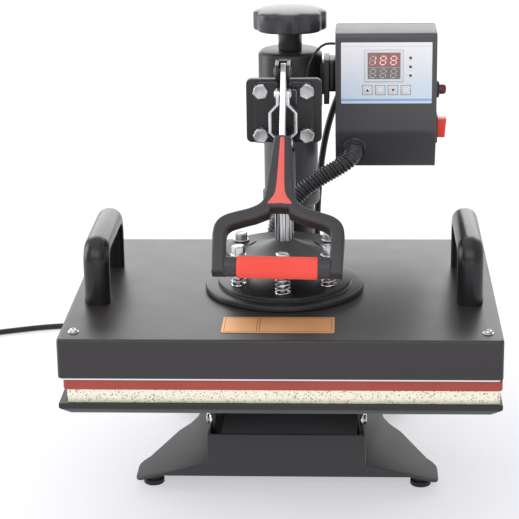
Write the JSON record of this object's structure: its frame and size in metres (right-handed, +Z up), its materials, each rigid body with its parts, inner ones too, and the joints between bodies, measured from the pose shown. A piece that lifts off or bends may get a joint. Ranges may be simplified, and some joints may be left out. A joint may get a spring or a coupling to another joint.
{
  "type": "heat press",
  "caption": "Flat swing-away heat press: heated platen under a toggle lever and sprung plate, on a column arm over a padded lower platen, with a control box.",
  "frame": {"origin": "middle of the press's footprint on the table, its mains cord left out", "axes": "+X to the press's right as its user faces it, +Y to the back, +Z up"},
  "size_m": [0.6911, 0.6352, 0.432],
  "materials": {
    "coat_grey": "satin textured powder coat",
    "coat_black": "satin textured powder coat",
    "zinc": "bright zinc plating",
    "plastic_black": "moulded, slight sheen",
    "rubber_black": "matt",
    "rubber_red": "matt, ribbed",
    "cord_black": "smooth jacket",
    "silicone": "matt",
    "foam": "open-celled, speckled",
    "insulation_wool": "fibrous",
    "plate_aluminium": "machined",
    "brass": "turned",
    "key_white": "smooth",
    "rocker_red": "glossy",
    "lamp_red": "glossy, dark lens"
  },
  "bodies": {
    "base": {"base_frame": "coat_grey", "foot_front_left": "rubber_black", "foot_front_right": "rubber_black", "foot_rear_left": "rubber_black", "foot_rear_right": "rubber_black", "platen_bracket": "coat_black", "lower_platen": "coat_black", "foam_pad": "foam", "silicone_pad": "silicone", "column_post": "coat_black", "mains_cord_lower": "cord_black", "mains_coil": "cord_black", "mains_plug": "plastic_black"},
    "lift": {"thrust_bush": "brass"},
    "arm": {"arm_sleeve": "coat_grey", "sleeve_collar": "coat_grey", "column_head": "coat_grey", "arm_beam": "coat_black", "arm_plate": "coat_black", "toggle_base": "coat_black", "fulcrum_pin": "zinc", "limit_switch": "plastic_black", "box_bracket": "coat_grey", "control_case": "coat_grey", "control_back": "coat_grey", "pilot_lamp": "lamp_red", "conduit_cuff": "plastic_black", "heater_conduit": "plastic_black", "switch_lead": "cord_black", "cord_relief": "rubber_black", "mains_cord_upper": "cord_black"},
    "knob": {"pressure_knob": "plastic_black", "pressure_screw": "zinc"},
    "lever": {"lever_bar": "zinc", "lever_handle": "plastic_black", "handle_inlay": "rubber_red", "grip_core": "plastic_black", "grip_sleeve": "rubber_red"},
    "links": {"link_left": "zinc", "link_right": "zinc", "crank_pin": "zinc"},
    "ram": {"plunger": "zinc", "pressure_plate": "coat_grey"},
    "platen": {"pressure_disc": "coat_grey", "heater_cover": "coat_black", "insulation": "insulation_wool", "heating_plate": "plate_aluminium", "side_handle_left": "plastic_black", "side_handle_right": "plastic_black", "spring_1": "zinc", "spring_2": "zinc", "spring_3": "zinc", "spring_4": "zinc", "spring_5": "zinc", "spring_6": "zinc"},
    "rocker": {"power_rocker": "rocker_red"},
    "key_1": {"key_1": "key_white"},
    "key_2": {"key_2": "key_white"},
    "key_3": {"key_3": "key_white"},
    "key_4": {"key_4": "key_white"}
  },
  "joints": [
    {"name": "arm_height", "type": "slide", "parent": "base", "child": "lift", "axis": [0, 0, 1], "range_m": [0, 0.008]},
    {"name": "arm_swing", "type": "hinge", "parent": "lift", "child": "arm", "pos_m": [0, 0.142, 0.3], "axis": [0, 0, 1], "range_deg": [-120, 120]},
    {"name": "knob_turn", "type": "hinge", "parent": "arm", "child": "knob", "pos_m": [0, 0.142, 0.4], "axis": [0, 0, 1], "range_deg": [0, 1440]},
    {"name": "ram_lift", "type": "slide", "parent": "arm", "child": "ram", "axis": [0, 0, 1], "range_m": [0, 0.0408], "deforming": ["heater_conduit"]},
    {"name": "platen_float", "type": "slide", "parent": "ram", "child": "platen", "axis": [0, 0, 1], "range_m": [0, 0.003], "stiffness_N_per_m": 4000, "springref_m": -0.002, "deforming": ["spring_1", "spring_2", "spring_3", "spring_4", "spring_5", "spring_6"]},
    {"name": "lever_turn", "type": "hinge", "parent": "arm", "child": "lever", "pos_m": [0, -0.068, 0.4094], "axis": [-1, 0, 0], "range_deg": [0, 180]},
    {"name": "link_turn", "type": "hinge", "parent": "lever", "child": "links", "pos_m": [0, -0.068, 0.389], "axis": [-1, 0, 0], "range_deg": [-180, 0]},
    {"name": "rocker_tip", "type": "hinge", "parent": "arm", "child": "rocker", "pos_m": [0.146, 0.12, 0.312], "axis": [0, -1, 0], "range_deg": [0, 20]},
    {"name": "key_1_press", "type": "slide", "parent": "arm", "child": "key_1", "axis": [0, 1, 0], "range_m": [0, 0.0005], "stiffness_N_per_m": 150},
    {"name": "key_2_press", "type": "slide", "parent": "arm", "child": "key_2", "axis": [0, 1, 0], "range_m": [0, 0.0005], "stiffness_N_per_m": 150},
    {"name": "key_3_press", "type": "slide", "parent": "arm", "child": "key_3", "axis": [0, 1, 0], "range_m": [0, 0.0005], "stiffness_N_per_m": 150},
    {"name": "key_4_press", "type": "slide", "parent": "arm", "child": "key_4", "axis": [0, 1, 0], "range_m": [0, 0.0005], "stiffness_N_per_m": 150}
  ],
  "couplings": [
    {"joint": "knob_turn", "follows": "arm_height", "rad_per_m": 3141.6},
    {"joint": "lever_turn", "follows": "ram_lift", "rad_per_m": 76.999},
    {"joint": "link_turn", "follows": "ram_lift", "rad_per_m": -76.999}
  ]
}
